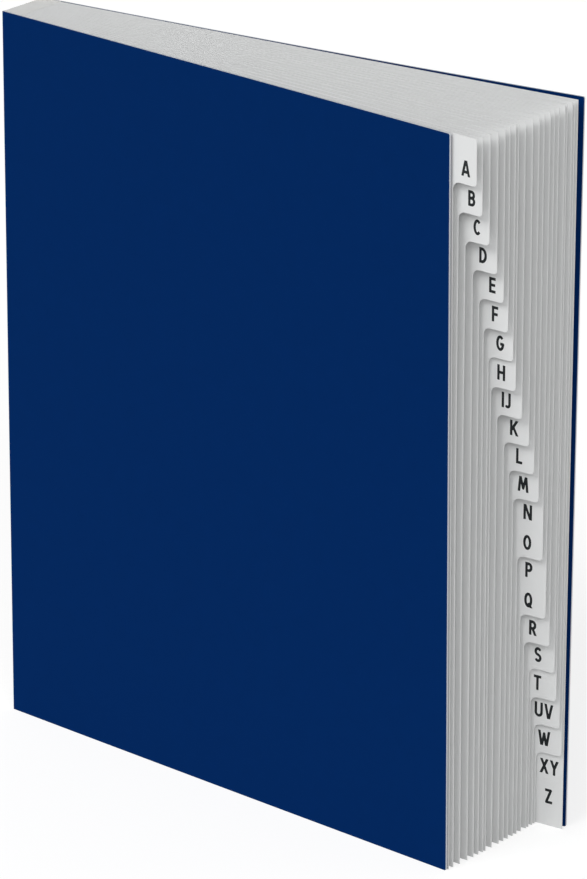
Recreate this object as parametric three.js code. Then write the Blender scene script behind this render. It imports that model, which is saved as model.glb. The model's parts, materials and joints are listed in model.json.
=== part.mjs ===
// Desk sorter with an accordion spine and a staircase of index tabs.
// Millimetres, +Z up. It stands on its bottom edges, with the spine at -X and the front cover at -Y.
import * as THREE from 'three';

// Sheet sizes
const SHEET_HEIGHT = 304.8;
const LEAF_WIDTH = 254;
const TAB_REACH = 12;
const TAB_UNIT_HEIGHT = 12.7;
const LEAF_THICKNESS = 0.3;
const BOARD_THICKNESS = 0.8;
const GUSSET_THICKNESS = 0.2;
const POCKET_DEPTH = 9;

// Roundings of the cut corners
const TAB_CORNER_RADIUS = 2;
const STEP_FILLET_RADIUS = 4;
const BOARD_CORNER_RADIUS = 1;

// Clearances between glued faces, and the air between two pleats
const LEAF_CLEARANCE = 0.13;
const ROOT_CLEARANCE = 0.1;
const GLUE_CLEARANCE = 0.1;
const PLEAT_GAP = 0.24;

// How far the fan stands open: the mean spacing of the leaves at the fore-edge, and the covers
const LEAF_SPACING = 3.35;
const FRONT_ANGLE = -4.9;
const BACK_COVER_SPLAY = 0.7;

// Segments in each round of the folds and corners
const FOLD_SEGMENTS = 6;
const CORNER_SEGMENTS = 6;

// Each leaf from front to back: its name, its tab's height in tab units, and how far its fore-edge
// stands behind the one in front of it, as a share of the mean spacing. Handled leaves never lie
// quite evenly.
const LEAVES = [
  { name: 'A', units: 1.5, apart: 0 },
  { name: 'B', units: 1, apart: 1.28 },
  { name: 'C', units: 1, apart: 1.28 },
  { name: 'D', units: 1, apart: 1.25 },
  { name: 'E', units: 1, apart: 1.25 },
  { name: 'F', units: 1, apart: 0.9 },
  { name: 'G', units: 1, apart: 1 },
  { name: 'H', units: 1, apart: 0.7 },
  { name: 'IJ', units: 1, apart: 1.28 },
  { name: 'K', units: 1, apart: 1.25 },
  { name: 'L', units: 1, apart: 1.25 },
  { name: 'M', units: 1, apart: 0.85 },
  { name: 'NO', units: 2, apart: 1.15 },
  { name: 'PQ', units: 2, apart: 1 },
  { name: 'R', units: 1, apart: 0.85 },
  { name: 'S', units: 1, apart: 1.15 },
  { name: 'T', units: 1, apart: 0.55 },
  { name: 'UV', units: 1, apart: 0.85 },
  { name: 'W', units: 1, apart: 0.5 },
  { name: 'XYZ', units: 2.5, apart: 0.65 },
];

// Worked-out sizes of one pocket: half its width between the middles of its two panels, the pitch
// of the pockets along the spine, and where the leaf's inner edge sits
const POCKET_HALF = (LEAF_THICKNESS + GUSSET_THICKNESS) / 2 + LEAF_CLEARANCE;
const SPINE_PITCH = 2 * POCKET_HALF + GUSSET_THICKNESS + PLEAT_GAP;
const FOLD_REACH = POCKET_HALF + GUSSET_THICKNESS / 2;
const LEAF_ROOT = ROOT_CLEARANCE + LEAF_THICKNESS / 2 - POCKET_HALF + GUSSET_THICKNESS / 2;

const coverMaterial = new THREE.MeshStandardMaterial({ color: 0x00285a, roughness: 0.7, metalness: 0 });
const leafMaterial = new THREE.MeshStandardMaterial({ color: 0xdedede, roughness: 0.85, metalness: 0 });
const gussetMaterial = new THREE.MeshStandardMaterial({ color: 0xd2d2d0, roughness: 0.85, metalness: 0 });

// A place on the spine with the direction that its sheet runs in, seen from above
function sheetLine(y, angle) {
  const origin = new THREE.Vector2(0, y);
  const along = new THREE.Vector2(Math.cos(angle), Math.sin(angle));
  const across = new THREE.Vector2(-along.y, along.x);
  return { origin, along, across, angle };
}

// The point that lies u along a sheet's line and v towards the back of it
function pointOn(line, u, v) {
  return line.origin.clone().addScaledVector(line.along, u).addScaledVector(line.across, v);
}

// The pockets' lines, which fan out because each leaf's fore-edge stands its own distance behind the
// one in front. The first pocket lies parallel to the front cover.
function fanLines() {
  const firstY = -SPINE_PITCH * (LEAVES.length - 1) / 2;
  let angle = THREE.MathUtils.degToRad(FRONT_ANGLE);
  return LEAVES.map(({ apart }, index) => {
    if (index > 0) {
      angle += (apart * LEAF_SPACING - SPINE_PITCH) / LEAF_WIDTH;
    }
    return sheetLine(firstY + index * SPINE_PITCH, angle);
  });
}

// A flat sheet cut to a shape drawn in width and height, standing on a line, with its thickness
// between two distances from that line
function standingSheet(name, shape, line, near, thickness, material) {
  const geometry = new THREE.ExtrudeGeometry(shape, {
    depth: thickness,
    bevelEnabled: false,
    curveSegments: CORNER_SEGMENTS,
  });
  geometry.rotateX(Math.PI / 2);
  const mesh = new THREE.Mesh(geometry, material);
  mesh.name = name;
  const corner = pointOn(line, 0, near + thickness);
  mesh.position.set(corner.x, corner.y, 0);
  mesh.rotation.z = line.angle;
  return mesh;
}

// A leaf: full width down to its tab's lower edge, then cut back by the tab's reach. The tab's lower
// corner is rounded, and so is the inside corner of the step.
function leafShape(tabBottom) {
  const shape = new THREE.Shape();
  const cut = LEAF_WIDTH - TAB_REACH;
  shape.moveTo(LEAF_ROOT, 0);
  if (tabBottom > 0) {
    shape.lineTo(cut, 0);
    shape.lineTo(cut, tabBottom - STEP_FILLET_RADIUS);
    shape.absarc(cut + STEP_FILLET_RADIUS, tabBottom - STEP_FILLET_RADIUS, STEP_FILLET_RADIUS,
      Math.PI, Math.PI / 2, true);
    shape.lineTo(LEAF_WIDTH - TAB_CORNER_RADIUS, tabBottom);
    shape.absarc(LEAF_WIDTH - TAB_CORNER_RADIUS, tabBottom + TAB_CORNER_RADIUS, TAB_CORNER_RADIUS,
      -Math.PI / 2, 0, false);
  } else {
    shape.lineTo(LEAF_WIDTH, 0);
  }
  shape.lineTo(LEAF_WIDTH, SHEET_HEIGHT);
  shape.lineTo(LEAF_ROOT, SHEET_HEIGHT);
  shape.closePath();
  return shape;
}

// A cover board, with its two fore-edge corners barely rounded
function boardShape(width) {
  const shape = new THREE.Shape();
  const inset = width - BOARD_CORNER_RADIUS;
  shape.moveTo(-FOLD_REACH, 0);
  shape.lineTo(inset, 0);
  shape.absarc(inset, BOARD_CORNER_RADIUS, BOARD_CORNER_RADIUS, -Math.PI / 2, 0, false);
  shape.lineTo(width, SHEET_HEIGHT - BOARD_CORNER_RADIUS);
  shape.absarc(inset, SHEET_HEIGHT - BOARD_CORNER_RADIUS, BOARD_CORNER_RADIUS, 0, Math.PI / 2, false);
  shape.lineTo(-FOLD_REACH, SHEET_HEIGHT);
  shape.closePath();
  return shape;
}

// The middle line of the gusset seen from above: down a pocket's front panel, round its outer fold,
// up its back panel, and round the inner fold to the next pocket
function gussetMiddle(lines) {
  const points = [];
  lines.forEach((line, index) => {
    for (let step = 0; step <= FOLD_SEGMENTS; step += 1) {
      const turn = Math.PI * step / FOLD_SEGMENTS;
      if (step === 0) {
        points.push(pointOn(line, POCKET_DEPTH, -POCKET_HALF));
      }
      points.push(pointOn(line, -POCKET_HALF * Math.sin(turn), -POCKET_HALF * Math.cos(turn)));
    }
    const panelEnd = pointOn(line, POCKET_DEPTH, POCKET_HALF);
    points.push(panelEnd);
    const next = lines[index + 1];
    if (next) {
      const nextStart = pointOn(next, POCKET_DEPTH, -POCKET_HALF);
      const centre = panelEnd.clone().add(nextStart).multiplyScalar(0.5);
      const half = nextStart.clone().sub(panelEnd).multiplyScalar(0.5);
      const outward = new THREE.Vector2(half.y, -half.x);
      for (let step = 1; step < FOLD_SEGMENTS; step += 1) {
        const turn = Math.PI * step / FOLD_SEGMENTS;
        points.push(centre.clone()
          .addScaledVector(half, -Math.cos(turn))
          .addScaledVector(outward, Math.sin(turn)));
      }
    }
  });
  return points;
}

// A strip's outline: its middle line moved half the thickness to one side, and back along the other
function stripOutline(middle, thickness) {
  const sides = [[], []];
  middle.forEach((point, index) => {
    const before = middle[Math.max(index - 1, 0)];
    const after = middle[Math.min(index + 1, middle.length - 1)];
    const arriving = (index > 0 ? point.clone().sub(before) : after.clone().sub(point)).normalize();
    const leaving = (after !== point ? after.clone().sub(point) : arriving.clone()).normalize();
    const mean = arriving.clone().add(leaving).normalize();
    const reach = thickness / 2 / mean.dot(arriving);
    const normal = new THREE.Vector2(-mean.y, mean.x);
    sides[0].push(point.clone().addScaledVector(normal, reach));
    sides[1].push(point.clone().addScaledVector(normal, -reach));
  });
  return [...sides[1], ...sides[0].reverse()];
}

function spineGusset(lines) {
  const shape = new THREE.Shape(stripOutline(gussetMiddle(lines), GUSSET_THICKNESS));
  const geometry = new THREE.ExtrudeGeometry(shape, { depth: SHEET_HEIGHT, bevelEnabled: false });
  const mesh = new THREE.Mesh(geometry, gussetMaterial);
  mesh.name = 'spine_gusset';
  return mesh;
}

function dividers(lines) {
  let tabBottom = SHEET_HEIGHT;
  return LEAVES.map(({ name, units }, index) => {
    tabBottom -= units * TAB_UNIT_HEIGHT;
    const isLast = index === LEAVES.length - 1;
    const shape = leafShape(isLast ? 0 : tabBottom);
    return standingSheet(`divider_${name}`, shape, lines[index], -LEAF_THICKNESS / 2,
      LEAF_THICKNESS, leafMaterial);
  });
}

function covers(lines) {
  const nearest = POCKET_HALF + GUSSET_THICKNESS / 2 + GLUE_CLEARANCE;
  const last = lines[lines.length - 1];
  const backLine = sheetLine(last.origin.y, last.angle + THREE.MathUtils.degToRad(BACK_COVER_SPLAY));
  return [
    standingSheet('front_cover', boardShape(LEAF_WIDTH - TAB_REACH), lines[0],
      -nearest - BOARD_THICKNESS, BOARD_THICKNESS, coverMaterial),
    standingSheet('back_cover', boardShape(LEAF_WIDTH), backLine, nearest, BOARD_THICKNESS,
      coverMaterial),
  ];
}

const lines = fanLines();
const sorter = new THREE.Group();
sorter.add(...covers(lines), spineGusset(lines), ...dividers(lines));

// The origin is the middle of the base
const box = new THREE.Box3().setFromObject(sorter, true);
const centre = box.getCenter(new THREE.Vector3());
sorter.position.set(-centre.x, -centre.y, -box.min.z);

export default sorter;
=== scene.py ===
import json
import math

import bpy
import numpy as np
from bpy.props import FloatProperty, FloatVectorProperty, PointerProperty
from mathutils import Matrix


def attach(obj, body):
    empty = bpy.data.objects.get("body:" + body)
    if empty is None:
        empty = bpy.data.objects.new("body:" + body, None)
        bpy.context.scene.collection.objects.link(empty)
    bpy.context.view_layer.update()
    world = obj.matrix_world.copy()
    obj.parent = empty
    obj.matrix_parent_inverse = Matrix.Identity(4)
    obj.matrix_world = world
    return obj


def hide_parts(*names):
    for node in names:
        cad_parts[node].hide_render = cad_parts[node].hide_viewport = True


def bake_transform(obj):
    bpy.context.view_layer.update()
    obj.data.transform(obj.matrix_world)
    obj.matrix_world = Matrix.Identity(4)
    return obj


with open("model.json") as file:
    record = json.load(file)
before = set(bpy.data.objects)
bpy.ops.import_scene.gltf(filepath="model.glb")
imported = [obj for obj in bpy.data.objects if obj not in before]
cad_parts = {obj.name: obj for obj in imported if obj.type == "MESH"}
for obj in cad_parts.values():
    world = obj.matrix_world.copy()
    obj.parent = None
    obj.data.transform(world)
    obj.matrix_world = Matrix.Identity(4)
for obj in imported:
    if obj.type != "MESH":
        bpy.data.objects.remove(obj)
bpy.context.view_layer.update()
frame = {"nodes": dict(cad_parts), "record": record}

bl_info = {
    "name": "Desk Sorter Finish",
    "version": (1, 0, 0),
    "blender": (4, 5, 0),
    "location": "View3D > Sidebar > Sorter",
    "description": "Dresses a packed desk sorter: covers, pleated spine, index leaves, letters, studio",
    "category": "Object",
}

MM = 0.001
GRAIN_SEED = 11

# Places on the solids that differ by less than this count as level or in line
LEVEL = 0.05 * MM

# Points on a quarter circle at a leaf's corners and at a board's, and along a tab's lower edge
LEAF_CORNER_POINTS = 7
BOARD_CORNER_POINTS = 6
TAB_EDGE_POINTS = 4

# How a leaf bows: the length of it that its pocket holds flat, and the shares of the bow that wave
# once and twice over the height. The first leaf lies along the cover, so it waves less.
HELD_FLAT = 10 * MM
WAVE_SHARE = 0.5
RIPPLE_SHARE = 0.3
FIRST_LEAF_WAVE = 0.3

# Where the gusset's solid is measured: beyond its outer fold, and within one thickness of card
PAST_FOLD = 2 * MM
WITHIN_CARD = 0.4 * MM

# Where an end panel would start to turn with its cover, as a share of half a pocket's width; the panel is
# not turned
BEND_START = 0.25

# The height of the sheets in tab units, one for each line of print
UNITS_IN_HEIGHT = 24

# What is printed on each tab, top line first, with the gap from the tab's fore-edge to the middle of
# the print in millimetres. The print isn't quite in line from tab to tab.
PRINT = {
    "A": (["A"], 5.4),
    "B": (["B"], 5.2),
    "C": (["C"], 6.0),
    "D": (["D"], 6.8),
    "E": (["E"], 5.4),
    "F": (["F"], 6.3),
    "G": (["G"], 6.1),
    "H": (["H"], 6.9),
    "IJ": (["IJ"], 7.5),
    "K": (["K"], 7.0),
    "L": (["L"], 7.0),
    "M": (["M"], 7.2),
    "NO": (["N", "O"], 7.2),
    "PQ": (["P", "Q"], 8.1),
    "R": (["R"], 7.7),
    "S": (["S"], 7.7),
    "T": (["T"], 8.8),
    "UV": (["UV"], 7.4),
    "W": (["W"], 8.2),
    "XYZ": (["XY", "Z"], 6.6),
}

# The capitals as pen strokes in millimetres, on a height of CAP_HEIGHT: each has its width and its
# strokes. A stroke is a list of points and of arcs, and an arc is its centre, its two radii and the
# angles in degrees that it runs between. What passes the top or the base line is cut off there.
CAP_HEIGHT = 6.4
PEN = 1.16
STEM, BASE, TOP = PEN / 2, PEN / 2, CAP_HEIGHT - PEN / 2
OVER, UNDER = CAP_HEIGHT + 0.5, -0.5
UPRIGHT = [(STEM, 0), (STEM, CAP_HEIGHT)]
UPPER_BOWL = [(STEM, TOP), (1.6, TOP), (1.6, 4.36, 1.25, 1.46, 90, -90), (STEM, 2.9)]
FULL_ROUND = [(1.95, 3.2, 1.38, 2.62, 0, 360)]
LETTERS = {
    "A": (4.3, [[(0.35, UNDER), (2.15, OVER), (3.95, UNDER)], [(1.0, 1.75), (3.3, 1.75)]]),
    "B": (3.6, [UPRIGHT,
                [(STEM, TOP), (1.7, TOP), (1.7, 4.56, 1.15, 1.26, 90, -90), (STEM, 3.3)],
                [(1.7, 3.3), (1.75, 1.94, 1.27, 1.36, 90, -90), (STEM, BASE)]]),
    "C": (3.7, [[(1.95, 3.2, 1.38, 2.62, 42, 318)]]),
    "D": (3.8, [UPRIGHT,
                [(STEM, TOP), (1.3, TOP), (1.3, 3.2, 1.92, 2.62, 90, -90), (STEM, BASE)]]),
    "E": (3.2, [UPRIGHT, [(STEM, TOP), (3.2, TOP)], [(STEM, 3.25), (3.0, 3.25)],
                [(STEM, BASE), (3.2, BASE)]]),
    "F": (3.1, [UPRIGHT, [(STEM, TOP), (3.1, TOP)], [(STEM, 3.1), (2.9, 3.1)]]),
    "G": (4.1, [[(2.0, 3.2, 1.42, 2.62, 45, 350), (3.4, 2.9), (2.0, 2.9)]]),
    "H": (3.9, [UPRIGHT, [(3.32, 0), (3.32, CAP_HEIGHT)], [(STEM, 3.25), (3.32, 3.25)]]),
    "I": (PEN, [UPRIGHT]),
    "J": (2.5, [[(1.92, CAP_HEIGHT), (0.95, 1.7, 0.97, 1.12, 0, -130)]]),
    "K": (4.0, [UPRIGHT, [(0.8, 2.3), (3.7, OVER)], [(1.5, 3.7), (3.75, UNDER)]]),
    "L": (3.0, [UPRIGHT, [(STEM, BASE), (3.0, BASE)]]),
    "M": (5.0, [[(0.45, UNDER), (1.15, OVER)], [(4.55, UNDER), (3.85, OVER)],
                [(1.0, OVER), (2.5, 1.5), (4.0, OVER)]]),
    "N": (4.1, [UPRIGHT, [(3.52, 0), (3.52, CAP_HEIGHT)], [(0.45, OVER), (3.65, UNDER)]]),
    "O": (3.9, [FULL_ROUND]),
    "P": (3.5, [UPRIGHT, UPPER_BOWL]),
    "Q": (4.0, [FULL_ROUND, [(1.9, 1.9), (3.75, UNDER)]]),
    "R": (3.7, [UPRIGHT, UPPER_BOWL, [(1.7, 2.9), (3.3, UNDER)]]),
    "S": (3.4, [[(1.7, 4.54, 1.12, 1.28, 30, 270), (1.7, 1.86, 1.12, 1.28, 90, -150)]]),
    "T": (3.5, [[(0, TOP), (3.5, TOP)], [(1.75, 0), (1.75, CAP_HEIGHT)]]),
    "U": (3.9, [[(STEM, CAP_HEIGHT), (1.95, 2.0, 1.37, 1.42, 180, 360), (3.32, CAP_HEIGHT)]]),
    "V": (4.1, [[(0.4, OVER), (2.05, UNDER), (3.7, OVER)]]),
    "W": (5.6, [[(0.4, OVER), (1.65, UNDER), (2.8, 5.2), (3.95, UNDER), (5.2, OVER)]]),
    "X": (4.1, [[(0.3, UNDER), (3.7, OVER)], [(0.4, OVER), (3.8, UNDER)]]),
    "Y": (4.0, [[(0.3, OVER), (2.0, 2.9), (3.7, OVER)], [(2.0, 3.2), (2.0, 0)]]),
    "Z": (3.6, [[(0.1, TOP), (2.85, TOP), (0.75, BASE), (3.6, BASE)]]),
}
LETTER_GAP = 0.75

# How a letter is cut from square cells, in millimetres: their size, the empty ones round it, the step
# over which the slope of the distance is measured, and how often the border is moved to the edge
LETTER_CELL = 0.14
SPARE_CELLS = 2
SLOPE_STEP = 0.01
BORDER_MOVES = 3
ALMOST_NOTHING = 1e-9

# The studio: how far the floor lies under the sheets, so that no faces meet, the share of plain white
# that the camera sees in it, the camera's sensor in millimetres and how far it sees in metres
FLOOR_DROP = 0.05 * MM
FLOOR_WHITE = 0.6
SENSOR_WIDTH = 36.0
CAMERA_REACH = 100.0
WHITE = (1.0, 1.0, 1.0, 1.0)

# The colour sockets of a Mix node, whose number, vector and colour sockets share their names
MIX_A, MIX_B, MIX_RESULT = 6, 7, 2


def linear(hex_colour):
    """An sRGB hex colour as linear light, by the standard curve for each channel: a straight line at
    the low end and a power of 2.4 above it."""
    channels = [int(hex_colour[i:i + 2], 16) / 255 for i in (1, 3, 5)]
    return tuple(c / 12.92 if c <= 0.04045 else ((c + 0.055) / 1.055) ** 2.4 for c in channels)


# Settings that a user would change


class SorterSheets(bpy.types.PropertyGroup):
    """Sizes of the soft details that the solids leave out."""

    leaf_bow: FloatProperty(
        name="Leaf bow", description="How far a leaf bows, as a share of the gap to its nearer neighbour",
        default=0.2, min=0.0, max=0.3, subtype="FACTOR")
    board_round: FloatProperty(
        name="Board edge", description="How far the cut edges of the covers are rounded by handling",
        default=0.2 * MM, unit="LENGTH")
    fold_unevenness: FloatProperty(
        name="Fold unevenness", description="How far the spine's folds stand out of line",
        default=0.12 * MM, unit="LENGTH")
    front_twist: FloatProperty(
        name="Front twist", description="How far the front sheets' upper fore-corner leans outwards",
        default=1.2 * MM, unit="LENGTH")
    back_twist: FloatProperty(
        name="Back twist", description="How far the last leaf's upper fore-corner leans outwards",
        default=1.1 * MM, unit="LENGTH")
    back_cover_twist: FloatProperty(
        name="Back cover twist", description="How far the back cover's upper fore-corner leans outwards",
        default=2.3 * MM, unit="LENGTH")
    back_cover_arch: FloatProperty(
        name="Back cover arch", description="How far the back cover bends in towards the last leaf",
        default=3.0 * MM, unit="LENGTH")
    letter_height: FloatProperty(
        name="Letter height", description="Height of a printed capital",
        default=6.3 * MM, unit="LENGTH")
    ink_thickness: FloatProperty(
        name="Ink thickness", description="How far the ink stands above the card",
        default=0.02 * MM, unit="LENGTH")


class SorterFinishes(bpy.types.PropertyGroup):
    """Colours of the finishes."""

    board: FloatVectorProperty(
        name="Pressboard", description="Dyed cover board", default=linear("#00265b"), subtype="COLOR")
    core: FloatVectorProperty(
        name="Board core", description="Pale core that shows on the cut edges", default=linear("#c4c9cf"),
        subtype="COLOR")
    card: FloatVectorProperty(
        name="Index card", description="Coated white card of the leaves", default=linear("#dfe0e0"),
        subtype="COLOR")
    gusset: FloatVectorProperty(
        name="Gusset card", description="Card of the pleated spine", default=linear("#dcdcda"),
        subtype="COLOR")
    ink: FloatVectorProperty(
        name="Ink", description="Printed letters", default=linear("#161a1c"), subtype="COLOR")


class SorterStudio(bpy.types.PropertyGroup):
    """Camera, lights and floor."""

    azimuth: FloatProperty(
        name="Azimuth", description="Turn of the camera from looking along +Y", subtype="ANGLE",
        default=math.radians(38.18))
    elevation: FloatProperty(
        name="Elevation", description="Height of the camera over the horizon", subtype="ANGLE",
        default=math.radians(20.16))
    roll: FloatProperty(
        name="Roll", description="Turn of the camera about its own axis", subtype="ANGLE",
        default=math.radians(0.06))
    distance: FloatProperty(
        name="Distance", description="From the camera to the point that it looks at",
        default=2.402, unit="LENGTH")
    lens: FloatProperty(
        name="Lens", description="Focal length in millimetres on a 36 mm sensor", default=245.7)
    target: FloatVectorProperty(
        name="Target", description="The point that the camera looks at", default=(0.0117, 0.0, 0.1485),
        subtype="TRANSLATION")
    key_strength: FloatProperty(
        name="Key strength", description="Strength of the soft key light", default=1.35)
    key_azimuth: FloatProperty(
        name="Key azimuth", description="Where the key light comes from, to the right of -Y",
        default=math.radians(-7), subtype="ANGLE")
    key_elevation: FloatProperty(
        name="Key elevation", description="Height of the key light over the horizon",
        default=math.radians(45), subtype="ANGLE")
    fill_strength: FloatProperty(
        name="Fill strength", description="Strength of the light that reaches into the fore-edge",
        default=1.18)
    fill_azimuth: FloatProperty(
        name="Fill azimuth", description="Where the fill light comes from, to the right of -Y",
        default=math.radians(46), subtype="ANGLE")
    fill_elevation: FloatProperty(
        name="Fill elevation", description="Height of the fill light over the horizon",
        default=math.radians(30), subtype="ANGLE")
    light_spread: FloatProperty(
        name="Light spread", description="Angle across both lights, which softens their shadows",
        default=math.radians(32), subtype="ANGLE")
    sky_strength: FloatProperty(
        name="Sky strength", description="Strength of the even light from all round", default=0.32)
    floor_glow: FloatProperty(
        name="Floor glow", description="Light added to the floor for the camera only", default=1.22)
    floor_size: FloatProperty(
        name="Floor size", description="Length of the floor's sides", default=14.0, unit="LENGTH")
    floor: FloatVectorProperty(
        name="Floor", description="Colour of the plain floor", default=linear("#f0f0f0"),
        subtype="COLOR")


# Meshes from arrays


def mesh_object(name, vertices, faces, *materials):
    """Puts arrays of points and faces into a new object at the origin."""
    mesh = bpy.data.meshes.new(name)
    mesh.from_pydata(vertices.tolist(), [], faces.tolist())
    mesh.validate()
    for material in materials:
        mesh.materials.append(material)
    piece = bpy.data.objects.new(name, mesh)
    bpy.context.scene.collection.objects.link(piece)
    return piece


def grid_faces(rows, columns):
    """Quads between neighbouring points of a grid that is stored row by row."""
    first = (np.arange(rows - 1)[:, None] * columns + np.arange(columns - 1)[None, :]).ravel()
    return np.stack([first, first + 1, first + 1 + columns, first + columns], axis=1)


def sheet_from_grid(name, grid, thickness, *materials):
    """A closed sheet whose middle surface is a grid of points, thickened by half to each side. A
    second material goes on its cut edges."""
    rows, columns = grid.shape[:2]
    piece = mesh_object(name, grid.reshape(-1, 3), grid_faces(rows, columns), *materials)
    solid = piece.modifiers.new("Thickness", "SOLIDIFY")
    solid.thickness = thickness
    solid.offset = 0.0
    solid.material_offset_rim = len(materials) - 1
    return piece


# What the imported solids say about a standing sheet


def node_points(node):
    """The separate corner points of a node, each once."""
    if node not in frame["nodes"]:
        raise ValueError(f"The frame has no node {node}")
    mesh = frame["nodes"][node].data
    points = np.empty(len(mesh.vertices) * 3, np.float32)
    mesh.vertices.foreach_get("co", points)
    return np.unique(points.reshape(-1, 3).astype(float).round(6), axis=0)


def standing_sheet(node):
    """The plan line of a flat standing node: its direction is the main axis of its points seen from
    above, turned to run from the spine to the fore-edge, and u and v are lengths along and across it."""
    points = node_points(node)
    plan = points[:, :2]
    along = np.linalg.svd(plan - plan.mean(axis=0), full_matrices=False)[2][0]
    along = along * np.sign(along[0])
    across = np.array([-along[1], along[0]])
    u = plan @ along
    v = plan @ across
    line = {
        "along": along,
        "across": across,
        "near": u.min(),
        "far": u.max(),
        "middle": (v.min() + v.max()) / 2,
        "thickness": v.max() - v.min(),
        "height": points[:, 2].max(),
        "u": u,
        "z": points[:, 2],
    }
    return line


def on_sheet(line, u, z, v=0.0):
    """Points u along a sheet's line, v behind its middle plane and z up."""
    across = line["middle"] + v
    x = u * line["along"][0] + across * line["across"][0]
    y = u * line["along"][1] + across * line["across"][1]
    return np.stack(np.broadcast_arrays(x, y, z), axis=-1)


def step_of(line):
    """The cut in a leaf's fore-edge: where it is cut back to, its tab's lower edge, the fillet of the
    inside corner and the radius of the tab's lower corner. None for a leaf with no cut."""
    cut = line["u"][line["z"] < LEVEL].max()
    if line["far"] - cut < LEVEL:
        return None
    middle = (cut + line["far"]) / 2
    bottom = line["z"][line["u"] > middle].min()
    below = (np.abs(line["u"] - cut) < LEVEL) & (line["z"] < bottom - LEVEL)
    level = np.abs(line["z"] - bottom) < LEVEL
    return {
        "cut": cut,
        "bottom": bottom,
        "fillet": bottom - line["z"][below].max(),
        "corner": line["far"] - line["u"][level].max(),
    }


def tab_of(node):
    """The letters that a leaf's node is named after."""
    return node.removeprefix("divider_")


DIVIDERS = [s["node"] for s in frame["record"]["subparts"] if s["node"].startswith("divider_")]
LEAF_LINES = {node: standing_sheet(node) for node in DIVIDERS}


# Index leaves


def fore_edge(line, step, spacing):
    """The free edge of a leaf from bottom to top as points (u, z), and the heights at the spine that
    the leaf's rows start from. Straight stretches are split evenly, and corners are quarter circles:
    the radius times a sine one way and times one less a cosine the other way."""
    def rise(low, high):
        return np.linspace(low, high, max(int((high - low) / spacing), 2) + 1)

    if step is None:
        z = rise(0.0, line["height"])
        return np.full_like(z, line["far"]), z, z
    turn = np.linspace(0, math.pi / 2, LEAF_CORNER_POINTS)
    low = rise(0.0, step["bottom"] - step["fillet"])
    fillet_u = step["cut"] + step["fillet"] * (1 - np.cos(turn[1:]))
    fillet_z = step["bottom"] - step["fillet"] * (1 - np.sin(turn[1:]))
    level_u = np.linspace(fillet_u[-1], line["far"] - step["corner"], TAB_EDGE_POINTS)[1:]
    corner_u = line["far"] - step["corner"] * (1 - np.sin(turn[1:]))
    corner_z = step["bottom"] + step["corner"] * (1 - np.cos(turn[1:]))
    high = rise(corner_z[-1], line["height"])[1:]
    u = np.concatenate([np.full_like(low, step["cut"]), fillet_u, level_u, corner_u,
                        np.full_like(high, line["far"])])
    z = np.concatenate([low, fillet_z, np.full_like(level_u, step["bottom"]), corner_z, high])
    stretch = len(level_u) + len(corner_u)
    start = np.linspace(step["bottom"], corner_z[-1], stretch + 1)[1:]
    spine_z = np.concatenate([low, fillet_z, start, high])
    return u, z, spine_z


def leaf_gaps():
    """The distance between each pair of neighbouring leaves at the fore-edge."""
    edges = [on_sheet(line, line["far"], 0.0)[:2] for line in LEAF_LINES.values()]
    return [float(np.linalg.norm(b - a)) for a, b in zip(edges, edges[1:])]


def leaf_bows(sheets):
    """How each leaf bows: an amount at the fore-edge, within a share of the nearer gap, two seeded
    shares of it that wave once and twice over the height, and a twist that opens the top of the fan a
    little. The first leaf leans on the cover, so it bows inwards only."""
    draw = np.random.default_rng(GRAIN_SEED)
    gaps = leaf_gaps()
    bows = {}
    last = len(DIVIDERS) - 1
    for index, node in enumerate(DIVIDERS):
        nearest = min(gaps[max(index - 1, 0)], gaps[min(index, last - 1)])
        lean, wave, ripple = draw.uniform(-1, 1, 3)
        if index == 0:
            lean, wave = abs(lean), FIRST_LEAF_WAVE * wave * abs(lean)
        shares = np.array([lean, WAVE_SHARE * wave, RIPPLE_SHARE * ripple * abs(lean)])
        shape = sheets.leaf_bow * nearest * shares
        twist = -sheets.front_twist + (sheets.front_twist + sheets.back_twist) * index / last
        bows[node] = np.append(shape, [twist, 0.0])
    return bows


def bow_at(line, bow, u, z):
    """How far a leaf stands behind its flat plane: nothing in the gusset, growing with the square of
    the distance from it, waving over the height by two cosines and twisting by a straight line. An
    arch between the spine and the fore-edge is added, a line less its cube."""
    share = np.clip((u - line["near"] - HELD_FLAT) / (line["far"] - line["near"]), 0, None)
    level = z / line["height"]
    wave = bow[0] + bow[1] * np.cos(math.pi * level) + bow[2] * np.cos(2 * math.pi * level)
    return share ** 2 * (wave + bow[3] * (2 * level - 1)) + bow[4] * share * (1 - share ** 2)


def leaf_grid(line, bow, columns=22, spacing=12 * MM):
    """The middle surface of a leaf: straight rows from the spine to the fore-edge, moved by its bow."""
    edge_u, edge_z, spine_z = fore_edge(line, step_of(line), spacing)
    share = np.linspace(0, 1, columns)[None, :]
    u = line["near"] + (edge_u[:, None] - line["near"]) * share
    z = spine_z[:, None] + (edge_z - spine_z)[:, None] * share
    return on_sheet(line, u, z, bow_at(line, bow, u, z))


# Cover boards


def board_grid(line, bow, columns=24, rows=28):
    """The middle surface of a cover: straight rows from the spine to a fore-edge whose two corners
    are quarter circles, of the radius that the solid's corner has."""
    corner = line["z"][line["far"] - line["u"] < LEVEL].min()
    turn = np.linspace(0, math.pi / 2, BOARD_CORNER_POINTS)
    low_u = line["far"] - corner * (1 - np.sin(turn))
    low_z = corner * (1 - np.cos(turn))
    middle = np.linspace(corner, line["height"] - corner, rows)[1:-1]
    edge_u = np.concatenate([low_u, np.full_like(middle, line["far"]), low_u[::-1]])
    edge_z = np.concatenate([low_z, middle, line["height"] - low_z[::-1]])
    share = np.linspace(0, 1, columns)[None, :]
    u = line["near"] + (edge_u[:, None] - line["near"]) * share
    z = np.broadcast_to(edge_z[:, None], u.shape)
    return on_sheet(line, u, z, bow_at(line, bow, u, z))


# Pleated spine


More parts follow.
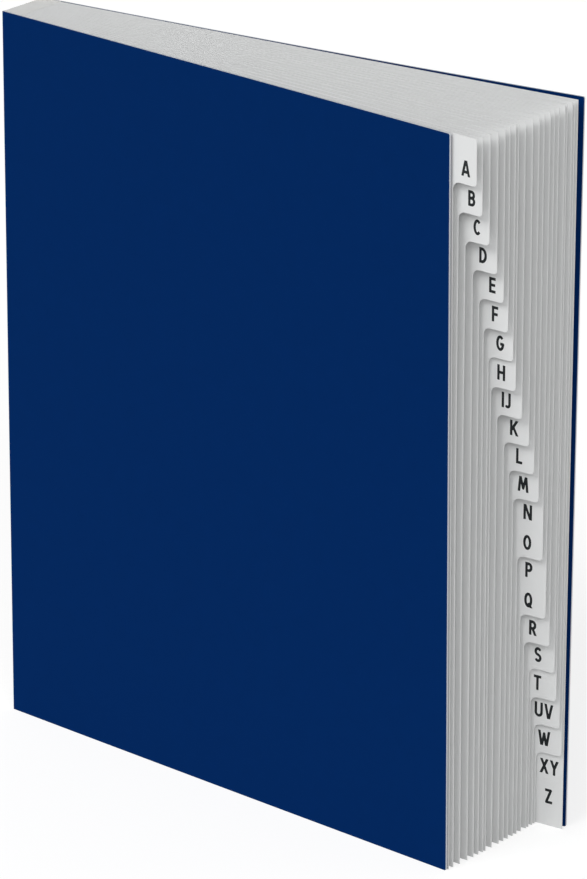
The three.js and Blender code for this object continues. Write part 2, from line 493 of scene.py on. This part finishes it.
def pleat_sizes():
    """Sizes of the gusset, read from its node: how deep the pockets are, how far the outer folds
    reach past the middle of their pockets, and how thick the card is."""
    first = LEAF_LINES[DIVIDERS[0]]
    points = node_points("spine_gusset")
    u = points[:, :2] @ first["along"]
    v = points[:, :2] @ first["across"] - first["middle"]
    end_panel = (v < -first["thickness"] / 2) & (u > first["near"] + PAST_FOLD)
    outer = v[end_panel].min()
    inner = v[end_panel & (v < outer + WITHIN_CARD)].max()
    card = inner - outer
    half = -(outer + inner) / 2
    fold = u[np.abs(v) < half].min()
    return {
        "card": card,
        "half": half,
        "end": u[end_panel].max(),
        "first": first,
        "inset": fold + half + card / 2 - first["near"],
    }


def root_of(line, sizes):
    """Where a pocket's outer fold is centred on its leaf's line: the leaf's inner edge stands clear
    of the inside of the fold by the same amount in each pocket."""
    return line["near"] + sizes["inset"]


def pleat_line(sizes, unevenness, arc_steps=12):
    """The middle line of the gusset seen from above, one row of points for each stretch: down a
    pocket's front panel, round its outer fold, up its back panel and round the inner fold to the next.
    A fold is half a circle, and each stands out of line by a small seeded amount."""
    draw = np.random.default_rng(GRAIN_SEED + 1)
    lines = list(LEAF_LINES.values())
    half = sizes["half"]
    turn = np.linspace(0, math.pi, arc_steps + 1)
    depth = sizes["end"] - root_of(sizes["first"], sizes)
    stretches = []
    for index, line in enumerate(lines):
        root = root_of(line, sizes) + (draw.uniform(0, unevenness) if 0 < index < len(lines) - 1 else 0)
        reach = root_of(line, sizes) + depth
        u = np.concatenate([[reach], root - half * np.sin(turn), [reach]])
        v = np.concatenate([[-half], -half * np.cos(turn), [half]])
        stretches.append(on_sheet(line, u, 0.0, v))
        if index + 1 < len(lines):
            following = lines[index + 1]
            panel_end = stretches[-1][-1]
            next_start = on_sheet(following, root_of(following, sizes) + depth, 0.0, -half)
            centre = (panel_end + next_start) / 2
            side = (next_start - panel_end) / 2
            out = np.array([side[1], -side[0], 0.0])
            arc = turn[1:-1, None]
            stretches.append(centre - np.cos(arc) * side + np.sin(arc) * out)
    return stretches


def spine_paths(stretches):
    """The gusset's line cut into three: an end panel with its outer fold at each end, and all the pleats
    between them."""
    front, back = stretches[0], stretches[-1]
    return {
        "spine_pleats": np.concatenate([front[-2:], *stretches[1:-1], back[:2]]),
        "front_end_panel": front[:-1],
        "back_end_panel": back[1:],
    }


def standing_strip(name, path, height, thickness, material, rows=5):
    """A strip of card on edge: a path seen from above, carried straight up."""
    z = np.linspace(0, height, rows)
    grid = np.repeat(path[None, :, :], rows, axis=0)
    grid[:, :, 2] = z[:, None]
    return sheet_from_grid(name, grid, thickness, material)


# Index letters


def stroke_path(parts, steps=14):
    """The points of one pen stroke, with its arcs turned into short chords."""
    points = []
    for part in parts:
        if len(part) == 2:
            points.append(np.array([part], float))
            continue
        x, y, wide, high, start, end = part
        turn = np.radians(np.linspace(start, end, steps + 1))
        points.append(np.stack([x + wide * np.cos(turn), y + high * np.sin(turn)], axis=1))
    return np.concatenate(points)


def pen_distance(places, strokes):
    """How far places lie outside the inked strokes, less than nothing inside them. A stroke is a chain
    of bars with square ends, with a round of the pen's width at each joint, cut at top and base."""
    nearest = np.full(len(places), np.inf)
    for path in strokes:
        start, run = path[:-1], np.diff(path, axis=0)
        length = np.maximum(np.linalg.norm(run, axis=1), ALMOST_NOTHING)
        ahead = run / length[:, None]
        offset = places[:, None, :] - start
        along = (offset * ahead).sum(axis=2)
        aside = np.abs(offset[:, :, 0] * ahead[:, 1] - offset[:, :, 1] * ahead[:, 0])
        bars = np.maximum(aside - PEN / 2, np.maximum(-along, along - length))
        rounds = np.linalg.norm(places[:, None, :] - path[1:-1], axis=2) - PEN / 2
        nearest = np.minimum(nearest, np.concatenate([bars, rounds], axis=1).min(axis=1))
    middle = CAP_HEIGHT / 2
    return np.maximum(nearest, np.abs(places[:, 1] - middle) - middle)


def letter_shape(letter):
    """One capital as flat square cells. Cells with their middle in the ink are kept, and the points on
    their border are moved along the slope of the distance until they lie on the ink's edge."""
    width, parts = LETTERS[letter]
    strokes = [stroke_path(stroke) for stroke in parts]
    columns = int(width / LETTER_CELL) + 2 * SPARE_CELLS + 1
    rows = int(CAP_HEIGHT / LETTER_CELL) + 2 * SPARE_CELLS + 1
    x = (np.arange(columns) - SPARE_CELLS) * LETTER_CELL
    y = (np.arange(rows) - SPARE_CELLS) * LETTER_CELL
    points = np.stack(np.meshgrid(x, y), axis=-1).reshape(-1, 2)
    cells = grid_faces(rows, columns)
    inked = pen_distance(points[cells].mean(axis=1), strokes) < 0
    kept, waste = cells[inked], cells[~inked]
    border = np.intersect1d(kept, waste)
    probes = (np.array([SLOPE_STEP, 0]), np.array([0, SLOPE_STEP]))
    for _ in range(BORDER_MOVES):
        places = points[border]
        away = pen_distance(places, strokes)
        slope = np.stack([
            pen_distance(places + step, strokes) - pen_distance(places - step, strokes)
            for step in probes], axis=1)
        slope /= np.maximum(np.linalg.norm(slope, axis=1, keepdims=True), ALMOST_NOTHING)
        points[border] = places - away[:, None] * slope
    used, faces = np.unique(kept, return_inverse=True)
    return points[used], faces.reshape(-1, 4), width


def printed_line(text, height):
    """Capitals side by side as flat cells, centred, with a capital at its height in metres."""
    points, faces, count, start = [], [], 0, 0.0
    for letter in text:
        shape, cells, width = letter_shape(letter)
        points.append(shape + [start, -CAP_HEIGHT / 2])
        faces.append(cells + count)
        count += len(shape)
        start += width + LETTER_GAP
    points = np.concatenate(points) - [(start - LETTER_GAP) / 2, 0]
    return points * height / CAP_HEIGHT, np.concatenate(faces)


def tab_prints(sheets):
    """All the printed letters as one set of points and cells. Each line of print stands in the middle
    of its tab unit: on the first tab the lowest unit, and on the others from the top down."""
    bows = leaf_bows(sheets)
    points, faces, count = [], [], 0
    top = LEAF_LINES[DIVIDERS[0]]["height"]
    unit = top / UNITS_IN_HEIGHT
    for node, line in LEAF_LINES.items():
        step = step_of(line)
        rows, inset = PRINT[tab_of(node)]
        bottom = step["bottom"] if step else 0.0
        first_row = bottom + unit / 2 if node == DIVIDERS[0] else top - unit / 2
        for row, text in enumerate(rows):
            flat, cells = printed_line(text, sheets.letter_height)
            u = line["far"] - inset * MM + flat[:, 0]
            z = first_row - row * unit + flat[:, 1]
            lift = -line["thickness"] / 2 - sheets.ink_thickness
            points.append(on_sheet(line, u, z, bow_at(line, bows[node], u, z) + lift))
            faces.append(cells + count)
            count += len(flat)
        top = bottom
    return np.concatenate(points), np.concatenate(faces)


# Materials


def add_node(tree, kind, inputs=None, **settings):
    """Adds one node. Settings are its own attributes, and inputs are values or other nodes' outputs."""
    node = tree.nodes.new(kind)
    for name, value in settings.items():
        setattr(node, name, value)
    for name, value in (inputs or {}).items():
        if isinstance(value, bpy.types.NodeSocket):
            tree.links.new(value, node.inputs[name])
        else:
            node.inputs[name].default_value = value
    return node


def new_material(name):
    """An empty material with its output, as a tree and that output."""
    material = bpy.data.materials.new(name)
    material.use_nodes = True
    material.node_tree.nodes.clear()
    output = add_node(material.node_tree, "ShaderNodeOutputMaterial")
    return material, material.node_tree, output


def per_mm(size):
    """The scale at which a noise has features of a size in millimetres."""
    return 1 / (size * MM)


def tinted(colour, share):
    """A colour made lighter or darker by a share, with its alpha."""
    return tuple(min(c * (1 + share), 1.0) for c in colour) + (1.0,)


def fibred(name, colour, contrast, mottle_mm, fibre_mm, relief_mm, roughness, gloss, grain=(1, 1, 1)):
    """Card or board: clouds of lighter and darker fibre in the colour, and a fine relief of the same
    fibres. The grain's shares stretch both along the way that the fibres lie."""
    material, tree, output = new_material(name)
    place = add_node(tree, "ShaderNodeTexCoord")
    laid = add_node(tree, "ShaderNodeMapping", {"Vector": place.outputs["Object"], "Scale": grain})
    # Clouds, as where the pulp has settled thicker and thinner
    mottle = add_node(tree, "ShaderNodeTexNoise", {
        "Vector": laid.outputs["Vector"], "Scale": per_mm(mottle_mm), "Detail": 5.0, "Roughness": 0.6})
    tone = add_node(tree, "ShaderNodeMix", {
        "Factor": mottle.outputs["Fac"], MIX_A: tinted(colour, contrast), MIX_B: tinted(colour, -contrast),
    }, data_type="RGBA")
    # Single fibres, which keep the surface from shining evenly
    fibre = add_node(tree, "ShaderNodeTexNoise", {
        "Vector": laid.outputs["Vector"], "Scale": per_mm(fibre_mm), "Detail": 3.0})
    relief = add_node(tree, "ShaderNodeBump", {
        "Height": fibre.outputs["Fac"], "Distance": relief_mm * MM, "Strength": 0.5})
    surface = add_node(tree, "ShaderNodeBsdfPrincipled", {
        "Base Color": tone.outputs[MIX_RESULT], "Roughness": roughness, "Specular IOR Level": gloss,
        "Normal": relief.outputs["Normal"]})
    tree.links.new(surface.outputs["BSDF"], output.inputs["Surface"])
    return material


def pressboard(finishes):
    """Dense board of dyed fibres, calendered between rolls: a deep even colour, dull, with a
    slight cloudiness and hardly any shine."""
    return fibred("dyed_pressboard", finishes.board, contrast=0.05, mottle_mm=6.0, fibre_mm=0.9,
                  relief_mm=0.03, roughness=0.7, gloss=0.02)


def board_core(finishes):
    """Pale grey core of the cover board, a little furry where the knife has cut it."""
    return fibred("cut_board_core", finishes.core, contrast=0.04, mottle_mm=1.2, fibre_mm=0.25,
                  relief_mm=0.04, roughness=0.9, gloss=0.1)


def index_card(finishes):
    """Smooth white index card: faint clouds of fibre that run with the grain, and no shine."""
    return fibred("white_index_card", finishes.card, contrast=0.012, mottle_mm=5.0, fibre_mm=0.6,
                  relief_mm=0.012, roughness=0.8, gloss=0.25, grain=(1, 1, 0.4))


def gusset_card(finishes):
    """Tough folding card, a little greyer than the leaves, with its grain up the folds."""
    return fibred("folded_gusset_card", finishes.gusset, contrast=0.02, mottle_mm=4.0, fibre_mm=0.6,
                  relief_mm=0.015, roughness=0.85, gloss=0.2, grain=(1, 1, 0.4))


def printing_ink(finishes):
    """Black offset ink on card: dull, a little uneven where the card takes it up."""
    return fibred("printed_ink", finishes.ink, contrast=0.15, mottle_mm=0.8, fibre_mm=0.3,
                  relief_mm=0.004, roughness=0.6, gloss=0.3)


# Floor, light and camera


def outward(azimuth, elevation):
    """The direction from the object to something at an angle to the right of -Y and a height."""
    level = math.cos(elevation)
    return np.array([math.sin(azimuth) * level, -math.cos(azimuth) * level, math.sin(elevation)])


def facing(back, place, roll=0.0):
    """The matrix of a lamp or camera at a place whose back points one way, level but for its roll."""
    right = np.array([-back[1], back[0], 0.0])
    right = right / np.linalg.norm(right)
    up = np.cross(back, right)
    turned_right = math.cos(roll) * right + math.sin(roll) * up
    turned_up = math.cos(roll) * up - math.sin(roll) * right
    matrix = Matrix.Identity(4)
    for row in range(3):
        matrix[row] = (turned_right[row], turned_up[row], back[row], place[row])
    return matrix


def studio_floor(studio):
    """Plain pale floor. The camera sees it mostly white, with part of the object's shadow."""
    material, tree, output = new_material("plain_floor")
    matt = add_node(tree, "ShaderNodeBsdfDiffuse", {"Color": (*studio.floor, 1.0)})
    white = add_node(tree, "ShaderNodeEmission", {"Color": WHITE, "Strength": studio.floor_glow})
    ray = add_node(tree, "ShaderNodeLightPath")
    seen = add_node(tree, "ShaderNodeMath", {
        0: ray.outputs["Is Camera Ray"], 1: FLOOR_WHITE}, operation="MULTIPLY")
    mix = add_node(tree, "ShaderNodeMixShader", {
        0: seen.outputs[0], 1: matt.outputs[0], 2: white.outputs[0]})
    tree.links.new(mix.outputs[0], output.inputs["Surface"])
    return material


def studio_world(studio):
    """Even light from all round, which the camera sees as plain white."""
    world = bpy.data.worlds.new("studio")
    world.use_nodes = True
    tree = world.node_tree
    tree.nodes.clear()
    ray = add_node(tree, "ShaderNodeLightPath")
    seen = add_node(tree, "ShaderNodeMath", {
        0: ray.outputs["Is Camera Ray"], 1: ray.outputs["Is Glossy Ray"]}, operation="MAXIMUM")
    shown = add_node(tree, "ShaderNodeMath", {
        0: seen.outputs[0], 1: ray.outputs["Is Transmission Ray"]}, operation="MAXIMUM")
    strength = add_node(tree, "ShaderNodeMapRange", {
        "Value": shown.outputs[0], "To Min": studio.sky_strength, "To Max": 1.0})
    sky = add_node(tree, "ShaderNodeBackground", {"Color": WHITE, "Strength": strength.outputs[0]})
    add_node(tree, "ShaderNodeOutputWorld", {"Surface": sky.outputs[0]})
    return world


def studio_lamp(name, strength, azimuth, elevation, spread):
    """A broad soft lamp, far away, that shines at the object from one direction."""
    data = bpy.data.lights.new(name, "SUN")
    data.energy = strength
    data.angle = spread
    lamp = bpy.data.objects.new(name, data)
    lamp.matrix_world = facing(outward(azimuth, elevation), np.zeros(3))
    bpy.context.scene.collection.objects.link(lamp)


def studio_camera(studio):
    """The camera, at its distance from the target and on the side that its two angles give."""
    data = bpy.data.cameras.new("camera")
    data.lens = studio.lens
    data.sensor_width = SENSOR_WIDTH
    data.clip_end = CAMERA_REACH
    camera = bpy.data.objects.new("camera", data)
    back = outward(studio.azimuth, studio.elevation)
    place = np.array(studio.target) + back * studio.distance
    camera.matrix_world = facing(back, place, studio.roll)
    bpy.context.scene.collection.objects.link(camera)
    return camera


# Operators


class SORTER_OT_covers(bpy.types.Operator):
    """Cuts the two cover boards, with edges softened by handling"""

    bl_idname = "sorter.covers"
    bl_label = "Covers"

    def execute(self, context):
        scene = context.scene
        sheets = scene.sorter_sheets
        materials = (pressboard(scene.sorter_finishes), board_core(scene.sorter_finishes))
        # How far each board twists outwards at the top, and how far it arches
        shapes = {
            "front_cover": (-sheets.front_twist, 0.0),
            "back_cover": (sheets.back_cover_twist, -sheets.back_cover_arch),
        }
        for node, shape in shapes.items():
            line = standing_sheet(node)
            grid = board_grid(line, np.array([0.0, 0.0, 0.0, *shape]))
            piece = sheet_from_grid(node + "_board", grid, line["thickness"], *materials)
            soften = piece.modifiers.new("Worn edges", "BEVEL")
            soften.width = sheets.board_round
            soften.segments = 2
            soften.limit_method = "ANGLE"
            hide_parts(node)
            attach(piece, node)
        return {"FINISHED"}


class SORTER_OT_spine(bpy.types.Operator):
    """Folds the gusset: the pleats between the covers, and an end panel at each cover"""

    bl_idname = "sorter.spine"
    bl_label = "Pleated spine"

    def execute(self, context):
        scene = context.scene
        material = gusset_card(scene.sorter_finishes)
        sizes = pleat_sizes()
        height = sizes["first"]["height"]
        stretches = pleat_line(sizes, scene.sorter_sheets.fold_unevenness)
        pieces = {}
        for name, path in spine_paths(stretches).items():
            pieces[name] = standing_strip(name, path, height, sizes["card"], material)
            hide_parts("spine_gusset")
        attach(pieces["spine_pleats"], "root")

        ends = {
            "front_end_panel": ("front_cover", DIVIDERS[0], -sizes["half"]),
            "back_end_panel": ("back_cover", DIVIDERS[-1], sizes["half"]),
        }
        for name, (cover, node, half) in ends.items():
            line = LEAF_LINES[node]
            root = root_of(line, sizes)
            still = on_sheet(line, root, height / 2, half * BEND_START)
            moved = on_sheet(line, root, height / 2, half)
            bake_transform(pieces[name])
        return {"FINISHED"}


class SORTER_OT_leaves(bpy.types.Operator):
    """Cuts the index leaves, each with its step and its own slight bow"""

    bl_idname = "sorter.leaves"
    bl_label = "Index leaves"

    def execute(self, context):
        scene = context.scene
        material = index_card(scene.sorter_finishes)
        bows = leaf_bows(scene.sorter_sheets)
        for node, line in LEAF_LINES.items():
            grid = leaf_grid(line, bows[node])
            piece = sheet_from_grid("leaf_" + tab_of(node), grid, line["thickness"], material)
            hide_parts(node)
            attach(piece, "root")
        return {"FINISHED"}


class SORTER_OT_letters(bpy.types.Operator):
    """Prints the index letters on the tabs"""

    bl_idname = "sorter.letters"
    bl_label = "Tab letters"

    def execute(self, context):
        scene = context.scene
        sheets = scene.sorter_sheets
        points, faces = tab_prints(sheets)
        piece = mesh_object("tab_letters", points, faces, printing_ink(scene.sorter_finishes))
        ink = piece.modifiers.new("Ink", "SOLIDIFY")
        ink.thickness = sheets.ink_thickness
        ink.offset = 0.0
        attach(piece, "root")
        return {"FINISHED"}


class SORTER_OT_studio(bpy.types.Operator):
    """Sets the floor, the lights and the camera"""

    bl_idname = "sorter.studio"
    bl_label = "Studio"

    def execute(self, context):
        scene = context.scene
        studio = scene.sorter_studio
        side = studio.floor_size / 2
        corners = np.array([
            [-side, -side, -FLOOR_DROP],
            [side, -side, -FLOOR_DROP],
            [side, side, -FLOOR_DROP],
            [-side, side, -FLOOR_DROP],
        ])
        mesh_object("floor", corners, np.array([[0, 1, 2, 3]]), studio_floor(studio))
        studio_lamp("key", studio.key_strength, studio.key_azimuth, studio.key_elevation,
                    studio.light_spread)
        studio_lamp("fill", studio.fill_strength, studio.fill_azimuth, studio.fill_elevation,
                    studio.light_spread)
        scene.world = studio_world(studio)
        scene.view_settings.view_transform = "Standard"
        scene.camera = studio_camera(studio)
        return {"FINISHED"}


# The panel, and how the parts of the add-on are listed


class SORTER_PT_panel(bpy.types.Panel):
    """Lists the sorter's operators and settings"""

    bl_idname = "SORTER_PT_panel"
    bl_label = "Desk sorter"
    bl_space_type = "VIEW_3D"
    bl_region_type = "UI"
    bl_category = "Sorter"

    def draw(self, context):
        for operator in OPERATORS:
            self.layout.operator(operator.bl_idname)
        for group in GROUPS:
            settings = getattr(context.scene, group)
            for name in type(settings).__annotations__:
                self.layout.prop(settings, name)


OPERATORS = (SORTER_OT_covers, SORTER_OT_spine, SORTER_OT_leaves, SORTER_OT_letters, SORTER_OT_studio)
GROUPS = {
    "sorter_sheets": SorterSheets,
    "sorter_finishes": SorterFinishes,
    "sorter_studio": SorterStudio,
}


def register():
    """Makes the operators, the settings and the panel known to Blender."""
    for item in (*GROUPS.values(), *OPERATORS, SORTER_PT_panel):
        bpy.utils.register_class(item)
    for name, group in GROUPS.items():
        setattr(bpy.types.Scene, name, PointerProperty(type=group))


def unregister():
    """Takes them away again."""
    for name in GROUPS:
        delattr(bpy.types.Scene, name)
    for item in reversed((*GROUPS.values(), *OPERATORS, SORTER_PT_panel)):
        bpy.utils.unregister_class(item)


def main():
    """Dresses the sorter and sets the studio."""
    register()
    bpy.ops.sorter.covers()
    bpy.ops.sorter.spine()
    bpy.ops.sorter.leaves()
    bpy.ops.sorter.letters()
    bpy.ops.sorter.studio()


if __name__ == "__main__":
    main()
